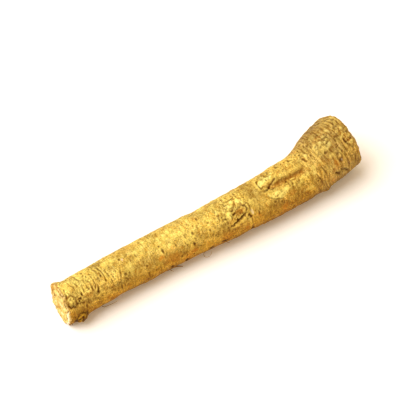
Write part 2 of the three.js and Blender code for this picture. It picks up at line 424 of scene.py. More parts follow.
def scar_colours(skin):
    """The scar's stains, and the edge where the outer bark stops: it ends in a deep crease."""
    skin.ledge([(175.6, 18), (176.2, 32), (175.2, 48), (174.2, 64), (174.4, 82), (175.6, 100)],
               0.45, 5, dark=0.55, wobble=0.35)
    skin.crease([(173.4, 88), (174.2, 100), (174.6, 118)], 1.1, 1.3, dark=0.9, wobble=0.3)
    skin.stains(
        dark=[(166, 31.5, 4.4, 2.4, 0.3), (161.5, 51, 6, 1.7, 0.3, 1)],
        olive=[
            (164, 28, 7.5, 6, 0.7, 1), (151, 50, 5, 5, 0.8, 1.6), (150.2, 46, 2.2, 2.4, 1, 0.6),
            (151.6, 63, 2.2, 2.4, 1, 0.6), (156.6, 68, 2.2, 2.4, 1, 0.6), (143.4, 51, 2.2, 2.4, 1, 0.6),
        ],
        orange=[(166, 31, 5.5, 3.2, 0.8, 0.8), (156, 46, 3, 3, 0.5, 0.8), (167.5, 83, 3.5, 4, 0.8)],
        pale=[(169, 68, 4.5, 4, 0.35), (175.6, 47, 1.7, 3.2, 1, 0.5), (171.5, 86, 2.4, 5, 0.5)],
        glint=[
            (156, 28, 1.7, 2.6, 1, 1), (163, -1, 2, 1.5, 1, 1), (168.6, 6, 2.6, 1.7, 1, 1),
            (170.8, 12, 1.5, 1.8, 0.9, 1), (160.4, 9, 1.6, 1.3, 0.8, 1), (164.8, 57, 1.2, 1.2, 0.9, 1),
            (168.4, 57, 1, 1.4, 0.8, 1), (148, 8, 1.2, 2.4, 0.7, 1), (171, 61, 1.8, 3.6, 0.8, 1),
            (167.4, 58, 2.4, 1.2, 0.6, 1), (172.4, 74, 1.2, 3.4, 0.6, 1),
        ],
        white=[(175.6, 47, 1.3, 2.4, 0.85, 0.8)],
        crumbly=[(163, 24, 11, 11, 0.7, 1)],
    )


def bark_plate(skin):
    """The raised plate of bark on top, where the furrow begins."""
    skin.ledge([(191.2, 9), (190.4, 2), (190.2, -10), (190.8, -21), (194.5, -22)],
               0.8, 4, dark=0.9, wobble=0.3)
    skin.ledge([(207.2, -1.5), (203.6, 3.5), (200.2, 8.5)], 0.8, 3, dark=1, wobble=0.3)
    skin.ledge([(197.4, 13.5), (194.2, 17), (191, 19.5)], 0.7, 2.5, dark=1, wobble=0.3)
    skin.crease([(206.5, 0), (203, 5), (199, 10.5), (196, 13)], 1.1, 0.9, dark=0.8, wobble=0.5)
    for path, width, depth in [
        ([(198.2, 13), (200.8, 14.5)], 0.6, 0.4), ([(222.8, -31), (223.4, -28.5)], 0.9, 0.5),
        ([(225.8, -33), (226.2, -25), (229.4, -19.5)], 0.75, 0.7),
        ([(236.8, -26), (236.9, -8)], 0.7, 0.4), ([(236.2, -6), (236.8, 3), (237.8, 9)], 1, 0.7),
        ([(205.8, -36), (206, -29)], 1, 0.5), ([(213.9, -35), (214.3, -27)], 0.8, 0.5),
    ]:
        skin.crease(path, width, depth, dark=0.3 + 0.7 * depth, wobble=0.25, lip=0.3)
    skin.crease([(207.6, -1.5), (205.6, -0.5), (203, 3), (200.6, 6.5), (198.6, 8.5)],
                0.65, 0.8, dark=1, wobble=0.4, firm=0.8)
    skin.crease([(199.6, 13.2), (197, 14.4), (194.4, 17.6), (190.8, 19)],
                0.6, 0.7, dark=1, wobble=0.4, firm=0.7)
    skin.crease([(189.6, 6), (192.2, 6.2), (194.4, 2.4), (195.8, 5)],
                0.55, 0.6, dark=0.9, wobble=0.3, firm=0.6)
    skin.crease([(198.2, 17), (200.2, 20), (202.2, 19), (201.4, 15.6)],
                0.6, 0.6, dark=0.9, wobble=0.3, firm=0.6)
    # The plate's pale patches and glints are painted highlights.
    skin.stains(
        olive=[(202.5, 8, 5, 2.6, 1, 0.8), (194, 10, 4, 5, 0.6)],
        orange=[(236.8, 2, 2, 4.5, 0.7)],
        pale=[(198.5, -9, 7.5, 3.4, 0.8), (191.8, -5, 1.6, 1.3, 1, 0.4)],
        glint=[
            (192.6, -5, 2.1, 1.6, 1, 1), (195.4, -8, 3.4, 2.2, 1, 1), (199.2, -11, 4.2, 2.3, 1, 1),
            (203, -13, 2.8, 1.2, 1, 1), (197.4, -5, 2.2, 0.9, 0.7, 1), (206, -20, 2.2, 1.2, 0.6, 1),
            (198.4, -25, 1.3, 2, 0.6, 1),
        ],
        crumbly=[(197.5, 2, 8, 6.5, 0.3), (227, -22, 6, 5, 0.5)],
    )


def furrow(skin):
    """The soft furrow along the top and the crumbly lip below it."""
    at, turn = skin.at, skin.turn
    run = smoothstep(0, FURROW_FADE_IN, at - FURROW_START) * smoothstep(0, FURROW_FADE_OUT, FURROW_END - at)
    leaning = turn_between(FURROW_TURN, turn) - 0.25 * np.clip(at - 214, -12, 24)
    middle = np.radians(leaning) * skin.radius + 0.35 * skin.wobble_arc
    side = np.where(middle < 0, 0.95, 1.25)  # steeper towards the back
    skin.form -= FURROW_DEPTH * run * bell(middle, FURROW_WIDTH * side)
    skin.form += 0.15 * run * bell(middle + 4.6, 2.4) + 0.45 * run * bell(middle - 6.8, 2.8)
    # Painted shade in the furrow.
    skin.shade("dark", 0.4 * run * bell(middle + 1.0, 1.8) * (0.5 + 0.5 * skin.whole))
    skin.shade("orange", 0.72 * run * bell(middle - 0.4, 2.6))
    skin.shade("olive", 0.72 * run * bell(middle - 0.4, 4.6))
    # Painted highlight on the raised edge on the furrow's upper side.
    skin.shade("pale", 0.35 * run * bell(middle + 5.0, 1.5) * skin.whole)
    skin.crease([(217.8, 23.5), (221.6, 23.5)], 0.5, 0.35, dark=0.55)
    skin.ledge([(193.6, 27), (196, 37), (199.4, 46.5), (204.6, 49)], 0.35, 3, dark=0.7, wobble=1.1)
    skin.bump(219.5, 21.5, 1.5, 0.5, 0.6)
    for row in [(213.4, 20.5, 1, 0.8, 0, 1, 1), (228, 19, 0.8, 0.3, 0, 1, 0.5)]:
        skin.pit(*row)
    # The pale patches on the lip below the furrow, and the glints, are painted highlights.
    skin.stains(
        dark=[(201.5, 18, 4, 1.8, 0.22, 1)],
        olive=[(201, 19, 5, 2.8, 0.8, 0.8)],
        pale=[
            (219.5, 21.5, 2.4, 0.9, 0.9, 0.4), (202.8, 45, 2.6, 1.3, 1, 0.7),
            (200.5, 38, 6, 3, 0.95, 0.7), (206.5, 40, 4, 2.6, 0.8, 0.7), (210.4, 36, 2.6, 1.9, 0.9, 0.7),
            (217.8, 37, 2.2, 1.3, 0.8, 0.7), (224, 42, 3.4, 1.6, 0.5, 0.7), (231, 32, 4, 1.8, 0.6, 0.7),
            (230, 67, 4.6, 1.8, 0.8, 0.7), (193.5, -32, 3, 2.4, 0.4, 0.7), (198.4, -25, 1.3, 2, 0.7, 0.7),
            (206, -21, 2.6, 1.6, 0.6, 0.7),
        ],
        glint=[
            (194.6, 31.5, 1.8, 0.9, 0.8, 1), (197.6, 37.5, 2, 1, 0.9, 1), (200.4, 42, 2.6, 1.3, 1, 1),
            (203.6, 45.5, 3.2, 2.2, 1, 1), (206, 41, 2.4, 2.4, 1, 1), (201, 33, 2.2, 1.4, 0.8, 1),
            (204.4, 33, 1.6, 1.4, 0.6, 1), (209.6, 36, 2, 1.2, 0.7, 1),
        ],
        crumbly=[(206, 36, 13, 4.2, 0.5), (222, 36, 16, 4, 0.35)],
    )


def head_rings(skin):
    """The thick head's uneven rim, and the fine rings that leaves left."""
    rows = skin.rows([226, ROOT_LENGTH], 1)
    at, places = skin.at[rows], skin.places[rows]
    skin.form -= 2.0 * bell(skin.at - 277, 10) * bell(turn_between(-45, skin.turn), 25)
    skin.form += 1.3 * bell(skin.at - 280, 9) * bell(turn_between(-10, skin.turn), 22)
    zone = smoothstep(230, 246, at)
    ring_at = ring_distance(at, skin.turn[rows], skin.radius[rows])
    warp = 1.6 * Noise(51).rough(places, 22, 2) + 0.35 * Noise(52).rough(places, 7, 2)
    for spacing, strength in ((1.9, 0.1), (3.3, 0.16)):
        wave = np.sin((ring_at + warp * spacing * 0.6) * 2 * np.pi / spacing)
        patchy = np.clip(0.55 + 1.1 * Noise(53).rough(places + spacing, (9, 14, 14), 2), 0, 1)
        patchy = np.maximum(patchy, 0.9 * on_neck(at, skin.turn[rows]))
        skin.height[rows] += zone * strength * wave * patchy
        # Painted shade in the rings' hollows and painted highlight on their crests.
        skin.shade("dark", zone * patchy * np.clip(-wave - 0.2, 0, 1) * 0.22, rows)
        skin.shade("pale", zone * patchy * np.clip(wave - 0.3, 0, 1) * 0.25, rows)


def head_buds(skin):
    """A cluster of buds, a pit with a pale plug in it, and a nub under the head."""
    for path in [
        [(249.8, 5), (252.4, 8), (255.6, 9)], [(254.4, -3), (257.2, -1), (260, 1)],
        [(256, 11.5), (259, 12), (262.2, 11)], [(251, -3), (253, -5), (254, -9)],
        [(262.2, -8), (262, -1), (261.2, 5), (262.8, 12)], [(263, 22), (263.8, 29), (262.8, 35)],
        [(250.8, 22), (252.6, 24.5), (254.4, 22)],
    ]:
        skin.crease(path, 0.5, 0.55, dark=0.75, wobble=0.5, firm=0.4)
    skin.pit(260.4, 55, 1.7, 1, 0.2, 1.4, 0.9)
    skin.bump(260.7, 55.5, 0.8, 1, 1.2, 0.1)
    skin.bump(244.5, 111, 1.8, 0.8)
    skin.highlighted_bumps([
        (248, -1, 1.5, 0.7, 0.8), (250.2, -4, 1.4, 0.7, 0.8), (254.2, 1, 1.3, 0.9, 0.9),
        (252, 5, 1.2, 0.5, 0.8), (257, 8, 1.8, 1, 0.6), (260, 6, 1.3, 0.8, 0.9), (259.2, 16, 2, 0.9, 1),
        (255.6, 20, 1.8, 0.6, 0.7), (255.5, -7, 1.6, 0.6, 1), (259.4, -3, 1.2, 0.7, 0.8),
        (252.6, 14, 1.6, 0.5, 1), (266, -8, 1.5, 0.6, 2), (253.4, 34, 1.4, 0.5, 1.4),
        (256.2, 36, 1.2, 0.5, 1.8), (275.6, 8, 1.4, 0.7, 1.2), (276, 40, 1.4, 0.7, 1),
        (238.8, 29, 1.8, 0.3, 1.4), (237.6, 40, 1.2, 0.5, 1.2), (239.6, -4, 1.2, 0.5, 1.6),
        (252, 57, 1.5, 0.5, 0.8),
    ], 0.8, 0.5)


def head_cracks(skin):
    """Pits and cracks, the deepest by the rim."""
    for at, turn, size, depth, stretch in [
        (249.6, 0, 0.8, 0.6, 0.8), (262.4, -5, 0.9, 1, 0.9), (262.8, 0, 0.8, 0.8, 0.8),
        (261.6, 3.5, 1, 1, 0.7), (257.6, 11.5, 1.2, 0.8, 0.5), (252.2, 22, 1, 0.7, 1),
        (264.8, 19, 0.9, 0.7, 1.1), (262, 29, 1, 0.9, 0.9), (263.8, 28, 0.9, 0.9, 0.8),
        (263.4, 24.5, 0.8, 0.5, 0.8), (258.3, -16, 1.2, 0.6, 0.7), (246.8, -18, 0.9, 0.5, 1.2),
        (239.4, -31, 0.9, 0.5, 1), (252.6, -30, 0.9, 0.5, 1.4), (263.4, -23, 1, 0.6, 0.8),
        (271.2, -42, 1.2, 0.8, 1.8), (271.4, 28, 1.1, 0.8, 1.2), (276.6, -17, 1, 0.8, 1.6),
        (278.4, 20, 0.9, 0.7, 1.2), (264, 42, 0.9, 0.5, 1.4), (260, 40, 1.1, 0.5, 1.6),
    ]:
        skin.pit(at, turn, size, depth, rim=0.2, stretch=stretch, dark=0.65)
    for path, width, depth in [
        ([(270, 33), (272.6, 34), (276, 33), (279, 34.5)], 0.7, 0.8),
        ([(270.6, 24), (271, 30), (271.6, 38), (273, 44), (274.6, 49), (276.8, 51)], 0.9, 1),
        ([(265, 12), (267.8, 13), (270, 18)], 0.6, 0.4),
        ([(251.2, 72), (253.6, 76), (256.4, 84)], 1.1, 1),
        ([(258.2, 72), (260, 79), (263, 88), (265, 97)], 1.2, 1.2),
        ([(243, 36), (244.2, 46), (244.8, 58)], 0.7, 0.45), ([(247, -30), (244.6, -20)], 0.7, 0.4),
        ([(268, 62), (271.6, 64), (273.6, 63)], 0.6, 0.5),
        ([(272.5, 92), (273, 76), (276, 66)], 0.7, 0.4),
        ([(273.6, -40), (276.2, -28), (277.2, -14)], 0.8, 0.6),
        ([(271, -4), (273.8, 0), (277.4, -2)], 0.6, 0.5),
    ]:
        skin.crease(path, width, depth, dark=0.35 + 0.55 * depth, wobble=0.5, lip=0.4 * depth)


def head_colours(skin):
    skin.stains(
        dark=[(256.5, 79, 5, 4.5, 0.5), (262, 27, 3, 3, 0.35), (244.8, 113, 1.6, 2, 0.8, 0.5)],
        # The broad olive patch at turn -48 is partly painted shade on the head's upper back.
        olive=[
            (252, 32, 5, 5, 0.6), (266, 62, 8, 6, 0.4), (268, -66, 14, 10, 0.7), (258, -48, 22, 14, 0.95),
            (246, -26, 6, 7, 0.6), (266, 10, 4, 7, 0.6), (243, 20, 4, 6, 0.4), (270, -14, 4, 5, 0.5),
            (240, 78, 6, 4, 0.5), (262, 30, 4, 4, 0.5), (274, 86, 6, 6, 0.6),
        ],
        orange=[
            (273, 34, 5.5, 6, 0.8), (254.5, 58, 4.5, 5, 0.9), (274, 12, 3, 4, 0.5), (253, 66, 4, 3, 0.7),
            (262.5, 26, 2.4, 2.4, 0.7), (237.5, -42, 2.2, 4, 0.7), (250, 90, 5, 4, 0.6),
            (256, -8, 3, 3, 0.6), (256.5, -7, 3, 3, 0.7),
        ],
        pale=[(256, 8, 8, 7, 0.45, 1.6)],
        glint=[
            (249.2, 0, 1.2, 1.6, 0.6, 1), (253.4, 3, 1.6, 1.2, 0.7, 1), (257.4, 6, 1.8, 1, 0.8, 1),
            (258.8, 17, 2.2, 1.8, 0.7, 1), (255.6, 18, 1.2, 1.4, 0.5, 1), (259.6, -4, 1.3, 1.2, 0.5, 1),
            (276, 39, 1.6, 1.2, 0.8, 1), (276.2, 9, 1.4, 1.8, 0.7, 1), (272, 37, 1.2, 1, 0.6, 1),
            (240, -5, 1.4, 1.8, 0.4, 1), (237, 39, 1.2, 2, 0.4, 1), (230.8, 67, 3.8, 1.4, 0.8, 1),
            (226, 64, 2.6, 1.4, 0.6, 1), (266.6, -6, 1, 3, 0.5, 1), (252.6, 47, 1, 3.4, 0.3, 1),
        ],
        white=[(260.7, 55.5, 0.7, 0.9, 0.6, 0.1)],
        crumbly=[(257, 5, 7, 6, 1), (274, 30, 6, 13, 1), (257, 78, 9, 6, 0.6)],
    )


def body_marks(skin):
    """Pores, spots and stains in chosen places on the long plain part."""
    for at, turn, size, stretch, dark in [
        (92.5, 34, 1.1, 1.9, 0.9), (104.5, 37, 0.6, 2.4, 0.7), (121.5, 26, 1, 1.3, 0.7),
        (119.8, 56, 1.2, 1.6, 0.9), (130.5, -4, 0.8, 2.2, 0.8), (56.6, -4, 0.9, 1.2, 0.9),
        (116, 22, 0.5, 2.2, 0.5), (136, 40, 0.7, 2, 0.6), (48.5, 20, 0.5, 2.4, 0.5),
        (55.2, 42, 1.1, 1.2, 0.8), (47.8, 55, 0.8, 1, 0.7), (84, 28, 0.6, 1.6, 0.5),
        (113, 44, 0.6, 1.8, 0.5),
    ]:
        skin.pit(at, turn, size, 0.45, rim=0.22, stretch=stretch, dark=dark)
    for at, turn, along in [(97, 100, 2.4), (111, 101, 2.8), (134, 99, 3.2), (147, 98, 3.6)]:
        skin.stain("dark", at, turn, along, 1.5, 1, 1)  # torn bits along the lower edge
        skin.bump(at, turn + 4, 1.3, 0.8)
    skin.stains(
        olive=[
            (56, 46, 4, 4.6, 0.9), (60.5, 42, 2.2, 2.4, 0.6), (67.5, 42, 3.2, 3, 0.9),
            (74.5, 38, 4.5, 5, 1), (80, 46, 6, 4, 0.6), (183, -10, 8, 14, 0.8),
            (186, 10, 6, 8, 0.8), (148, 62, 3.5, 3, 0.7), (143, 52, 2.4, 2.6, 0.6), (200, 62, 7, 5, 0.9),
            (216, 66, 8, 7, 0.5), (228, 84, 7, 6, 0.6), (96, 48, 8, 4, 0.5), (108, 58, 6, 5, 0.4),
            (132, 32, 4, 4, 0.4), (118, -20, 4, 4, 0.4), (66, 66, 9, 5, 0.5), (88, 70, 7, 4, 0.5),
            (40, 60, 6, 4, 0.4), (225, -8, 7, 5, 0.3),
        ],
        orange=[
            (89.5, 52, 3, 2.6, 1), (119, 75, 4, 2.6, 1), (112, 86, 6, 3, 0.6), (150, 82, 8, 6, 0.5),
            (98, 66, 8, 5, 0.5), (8, -5, 5, 6, 0.4), (68, -30, 10, 6, 0.3), (214, 52, 4, 3, 0.6),
            (205, 78, 4, 3, 0.7),
        ],
        pale=[
            (120.2, 51, 0.9, 0.9, 0.9, 0.3), (47, -12, 7, 4, 0.8, 1.6), (10, -22, 4, 4, 0.7, 1.6),
            (28, -38, 6, 3, 0.5, 1.6), (30, 0, 4, 5, 0.6, 1.6), (60, 26, 5, 3, 0.6, 1.6),
            (101, -2, 9, 5, 0.6, 1.6), (72, 5, 6, 4, 0.5, 1.6), (147, -17, 4, 4, 0.7, 1.6),
            (84, -18, 6, 4, 0.5, 1.6), (112, 12, 5, 3, 0.5, 1.6), (128, 10, 5, 4, 0.4, 1.6),
            (165, -40, 9, 4, 0.3, 1.6), (148, 8, 2, 3, 0.6, 1.6), (178, 20, 2, 4, 0.4, 1.6),
        ],
        white=[(58.6, 1, 1.1, 1.6, 0.9, 0.3)],
        crumbly=[(57, 46, 4, 4.5, 0.8)],
    )


def scattered_marks(skin):
    """Wrinkles, flecks, pores, warts, stains and healed scars everywhere else."""
    rng = np.random.default_rng(61)
    for _ in range(110):  # wrinkles across the root
        at, turn = rng.uniform(4, 240), rng.uniform(-180, 180)
        half = rng.gamma(3.0, 4.0) + 4
        lean = rng.normal(0, 0.9)
        depth = rng.uniform(0.1, 0.32)
        skin.crease([(at - lean, turn - half), (at + rng.normal(0, 0.5), turn), (at + lean, turn + half)],
                    rng.uniform(0.45, 0.8), depth, dark=rng.uniform(0.1, 0.4), lip=0.4 * depth)
    for _ in range(200):  # flecks, short and dark
        at, turn = rng.uniform(2, 278), rng.uniform(-180, 180)
        half = rng.uniform(2, 6)
        skin.crease([(at, turn - half), (at + rng.normal(0, 0.5), turn + half)], rng.uniform(0.4, 0.6),
                    rng.uniform(0.05, 0.2), dark=rng.uniform(0.1, 0.45))
    for _ in range(170):  # pores and the feet of hair roots
        size = rng.uniform(0.45, 0.95)
        skin.pit(rng.uniform(3, 277), rng.uniform(-180, 180), size, rng.uniform(0.15, 0.5),
                 rim=rng.uniform(0.05, 0.25), stretch=rng.uniform(0.9, 2.2), dark=rng.uniform(0.3, 0.8))
    for _ in range(160):  # warts
        skin.bump(rng.uniform(3, 277), rng.uniform(-180, 180), rng.uniform(0.8, 2.4),
                  rng.uniform(0.15, 0.5), stretch=rng.uniform(1, 2))
    for layer, count, most in (("olive", 70, 0.7), ("orange", 45, 0.45), ("pale", 90, 0.6),
                               ("crumbly", 30, 0.8)):
        for _ in range(count):
            skin.stain(layer, rng.uniform(0, 280), rng.uniform(-180, 180), rng.uniform(1.5, 6),
                       rng.uniform(1.5, 6), rng.uniform(0.2, most), 2.0)
    for at, turn, size in [(70, -112, 4), (118, -115, 4.6), (182, 150, 4), (205, -120, 5), (40, 170, 3.4),
                           (228, -150, 4.6), (140, -160, 3.2)]:
        side_root_scar(skin, at, turn, size)


def side_root_scar(skin, at, turn, size):
    """A healed scar of a trimmed side root: a raised ring round a sunken, cracked middle."""
    rows = skin.rows(at, 2 * size + 2)
    d = skin.near(rows, at, turn, size, size * 1.15, 0.7)
    skin.height[rows] += 0.8 * bell(d - 0.85, 0.22) - 0.6 * bell(d, 0.5)
    skin.shade("dark", 0.85 * bell(d, 0.3), rows)
    skin.shade("dark", 0.6 * bell(d - 1.15, 0.14), rows)
    skin.shade("pale", 0.6 * bell(d - 0.8, 0.18), rows)
    skin.shade("crumbly", 0.9 * bell(d, 1.1), rows)


def bark_texture(skin):
    """The uneven surface everywhere: broad dents, crumbs, and lumps with fine cracks between them."""
    places = skin.places
    levels = places.copy()
    levels[..., 0] = ring_distance(skin.at, skin.turn, skin.radius)
    grain = Noise(71).rough(places, (2.4, 6, 6), 3, 0.65)
    crumbs = Noise(72).rough(places, 2.1, 3, 0.75)
    broad = Noise(73).rough(places, 19, 2)
    lumps = np.abs(Noise(75).rough(places, 5, 3, 0.6))
    lines = Noise(77).rough(levels, (1.7, 26, 26), 2, 0.5)
    on_head = smoothstep(234, 248, skin.at)
    patchy = np.clip(0.6 + 0.9 * Noise(74).rough(places, 22, 2), 0.15, 1.3) * (1 - 0.45 * on_head)
    crumbly = np.maximum(skin.layers["crumbly"], 0.2 * patchy * (1 - 0.8 * on_head))
    skin.height += 0.42 * broad + 0.15 * grain * patchy + 0.2 * lines * on_head
    skin.height += crumbly * (0.45 * crumbs + 0.7 * np.minimum(lumps, 0.6))
    # Painted shade in the hollows of the head's lines and painted highlight on their crests.
    skin.shade("dark", np.clip(-lines - 0.3, 0, 0.6) * 0.65 * on_head)
    skin.shade("pale", np.clip(lines - 0.3, 0, 0.6) * 0.5 * on_head)
    for layer, plain, crumbled in (("glint", 0.9, 1.0), ("pale", 0.85, 0.7), ("white", 0.9, 0.9)):
        skin.layers[layer] *= np.clip(plain + crumbled * crumbs, 0.3, 1)
    # Painted shade in the cracks between lumps and in low grain and crumbs; painted highlight on high
    # crumbs.
    skin.shade("dark", 0.65 * bell(lumps, 0.07) * np.clip(crumbly - 0.15, 0, 1) * skin.whole)
    skin.shade("dark", np.clip(-grain - 0.35, 0, 1) * 0.27 * patchy)
    skin.shade("dark", np.clip(-crumbs - 0.3, 0, 0.6) * crumbly)
    skin.shade("pale", np.clip(crumbs - 0.15, 0, 0.6) * 1.7 * crumbly)


def ring_distance(at, turn, radius):
    """Distance along the root, measured so that each slanting ring of the head lies at one distance."""
    slant = RING_SLANT * (1 - smoothstep(236, 282, at))
    return at + slant * radius * np.cos(np.radians(turn - RING_TURN))


def on_neck(at, turn):
    """Where the rings of the neck are strong, low on its front."""
    return bell(at - 246, 11) * bell(turn_between(55, turn), 34)


def ringed_places(skin):
    """Where the fine rings of the head show: patchy, and strongest near the rim."""
    patchy = np.clip(0.5 + 1.2 * Noise(76).rough(skin.places, 13, 2), 0, 1)
    near_rim = bell(skin.at - 270, 11) * bell(turn_between(28, skin.turn), 60)
    strong = 0.6 * near_rim + 0.7 * on_neck(skin.at, skin.turn)
    return np.clip(smoothstep(228, 240, skin.at) * (0.35 + 0.5 * patchy) + strong, 0, 1)


def spread(values, rounds):
    """values softened over its neighbours on the grid, which closes round the root."""
    for _ in range(rounds):
        ends = np.concatenate([values[:1], values, values[-1:]])
        along = (ends[:-2] + ends[2:]) / 2
        around = (np.roll(values, 1, 1) + np.roll(values, -1, 1)) / 2
        values = (values * 2 + along + around) / 4
    return values


# ---- The skin as a mesh ----

def sections(at):
    """Middle, radius, axis and front direction of the root's section at each distance."""
    side, girth = through(STATIONS, at)
    before, after = np.clip(at - 0.5, 0, ROOT_LENGTH), np.clip(at + 0.5, 0, ROOT_LENGTH)
    lean = (through(STATIONS, after)[0] - through(STATIONS, before)[0]) / (after - before)
    axis = np.stack([np.ones_like(lean), lean, 0 * lean], -1)
    axis /= np.linalg.norm(axis, axis=-1)[..., None]
    front = np.stack([axis[..., 1], -axis[..., 0], 0 * lean], -1)
    middle = np.stack([at, side, girth / 2 - FLAT_DEPTH], -1)
    return middle, girth / 2, axis, front


def end_cut(at, turn):
    """How far the two slanting, ragged cuts move the skin along the axis."""
    slant = TIP_SLANT * (1 - smoothstep(0, TIP_SLANT_REACH, at))
    saddle = CROWN_SADDLE * smoothstep(ROOT_LENGTH - CROWN_SADDLE_REACH, ROOT_LENGTH, at)
    overhang = KNOB_OVERHANG * bell(turn_between(KNOB_TURN, turn), 9) * (1 - smoothstep(0, 6, at))
    by_the_cut = 1 - smoothstep(0, 4, np.minimum(at, ROOT_LENGTH - at))
    ragged = sum(size * np.sin(np.radians(turns * turn + start)) for turns, start, size in CUT_WAVES)
    return (slant * np.cos(np.radians(turn - TIP_SLANT_TURN)) + by_the_cut * ragged + overhang
            + saddle * np.cos(2 * np.radians(turn - CROWN_SADDLE_TURN)))


def placed(at, turn, height, inward=0.0, outward=0.0):
    """Points of the skin, or of a cut end when inward is above 0."""
    middle, radius, axis, front = sections(at)
    reach = ((radius + height) * (1 - inward))[..., None]
    angle = np.radians(turn)[..., None]
    along = (outward - end_cut(at, turn) * (1 - inward))[..., None]
    points = middle + reach * (front * np.sin(angle) + np.array([0, 0, 1.0]) * np.cos(angle))
    return points + axis * along


# Marks on the cut ends, by layer: mm towards the front, mm up from the middle, half width, half height,
# tilt in degrees, strength, and how far it stands out (mm).
TIP_MARKS = {
    "orange": [
        (-13.4, 6, 2.6, 6, 0, 0.9, 0.3), (-7, 13.6, 4, 1.6, 20, 0.7, 0.2),
        (-14.5, -5, 1.8, 4, 20, 0.6, 0), (-3, -6.6, 6.6, 0.9, -38, 0.8, -0.3),
        (0, -0.4, 7, 0.8, -8, 0.7, -0.3), (-4.8, 12.6, 2.4, 0.8, -38, 0.7, -0.2),
        (8.4, -8.6, 1.6, 3.6, -30, 0.7, -0.2), (2, -13, 4, 1.6, 10, 0.6, 0),
    ],
    "dark": [
        (-9.3, 2.9, 1.4, 1.6, 0, 1, -0.5), (-10.8, -1.6, 1.3, 1, 0, 0.95, -0.3),
        (-12, 4.6, 0.9, 1.3, 0, 0.85, -0.3), (-1.6, 8.8, 3.2, 0.8, -40, 0.65, -0.3),
        (2.3, 6.4, 1.3, 1, 0, 0.85, -0.3), (-3.4, 0.6, 0.9, 0.9, 0, 0.75, -0.3),
        (0.5, 13.7, 3.7, 0.9, -35, 0.85, -0.3), (7.6, 9, 1.4, 4.3, -42, 1, -1.5),
        (11.6, 6.2, 1.4, 2.1, -20, 0.95, -0.9), (10.8, -2.2, 0.9, 5.5, -12, 0.75, -0.5),
        (-6, -9.4, 1, 0.9, 0, 0.75, -0.3),
    ],
    "pale": [
        (-5, 9, 2.6, 1.2, -30, 0.9, 0.3), (3.4, 3.6, 6, 1, -8, 0.9, 0.3),
        (-7.4, -2.8, 3.4, 1, -30, 0.8, 0.2), (4.4, -5, 3.4, 1.1, -30, 0.7, 0.2),
    ],
    "white": [(13.6, -1, 1.1, 7.4, -10, 1, 1), (11.8, -11, 1.4, 2.4, 10, 0.8, 0.5)],
}
CROWN_MARKS = {
    "dark": [
        (3, 3, 2.4, 3.4, 25, 0.8, -1.2), (-6, -4, 1, 5.4, -40, 0.7, -0.7),
        (7.4, 8.6, 0.9, 4.4, 50, 0.6, -0.5), (12, 12, 1.8, 1.3, 0, 0.8, -0.6),
        (-15, -6, 1.5, 2, 0, 0.8, -0.6), (-17, 8, 1, 2.6, 10, 0.6, -0.4), (5, -17, 2.6, 1, 10, 0.7, -0.4),
    ],
    "orange": [(9, -9, 7, 4, 20, 0.7, 0), (-11, 9, 6, 7, 0, 0.7, 0), (1, 3, 6, 6, 0, 0.6, -0.4)],
    "pale": [(-2, -8, 6, 3, 30, 0.8, 0.4), (-4, 13, 5, 3, 0, 0.7, 0.4), (14, 3, 3, 6, 0, 0.7, 0.4)],
}


FACE_REACH = 0.985  # how far in the rings of a cut end go; a fan closes the rest
RAY_SPACING = 14  # the rays' noise is read on a circle of this radius


def cut_face(profile, rings, at, turn, rim_height, marks, seed, way):
    """Rings of points from just inside a rim to near the middle of a cut end, and what marks them."""
    even = np.linspace(0, 1, rings + 1)[1:]
    inward = FACE_REACH * (0.35 * (1 - np.cos(even * np.pi / 2)) + 0.65 * even)
    inward, turns = np.meshgrid(inward, turn, indexing="ij")
    ats = np.full_like(inward, at)
    rim = np.broadcast_to(rim_height, inward.shape)
    flat = placed(ats, turns, rim, inward)
    noise = Noise(seed)
    dents = noise.rough(flat, (4, 5, 5), 3, 0.55)
    fibres = noise.rough(flat, (2, 1.3, 5.5), 2, 0.5)
    ease = smoothstep(0, 0.12, inward)
    outward = np.interp(inward, *profile.T) + ease * (0.6 * dents + 0.3 * fibres)

    layers = {layer: np.zeros_like(inward) for layer in LAYERS}
    reach = (sections(ats)[1] + rim) * (1 - inward)
    ways = np.sin(np.radians(turns)), np.cos(np.radians(turns))
    front, up = reach * ways[0] + 0.9 * dents, reach * ways[1] + 0.9 * fibres
    for layer, rows in marks.items():
        for mark_front, mark_up, width, height, tilt, strength, rise in rows:
            c, s = math.cos(math.radians(tilt)), math.sin(math.radians(tilt))
            across, along = front - mark_front, up - mark_up
            d = np.hypot((across * c - along * s) / width, (across * s + along * c) / height)
            layers[layer] = np.maximum(layers[layer], strength * (1 - smoothstep(0.5, 1.3, d)))
            outward = outward + rise * bell(d, 1)
    layers["inward"] = inward
    layers["flesh"] = np.ones_like(inward)
    round_rim = np.stack([RAY_SPACING * ways[0], RAY_SPACING * ways[1], 4 * inward], -1)
    rays = noise.rough(round_rim, 1.5, 2, 0.5) * smoothstep(0.08, 0.3, inward)
    # Painted shade in the face's dents, with radial streaks in the flesh, and painted highlight on its
    # raised fibres.
    layers["crevice_shade_and_streaks"] = np.clip(np.maximum(-dents, 0) + 0.9 * np.maximum(rays, 0), 0, 1)
    layers["ridge_highlight"] = np.clip(fibres, 0, 1)
    return placed(ats, turns, rim, inward, way * outward), layers


HOLLOW_ROUNDS, HOLLOW_DEPTH = 14, 0.26  # how far a hollow's surroundings reach, and a full one's mm


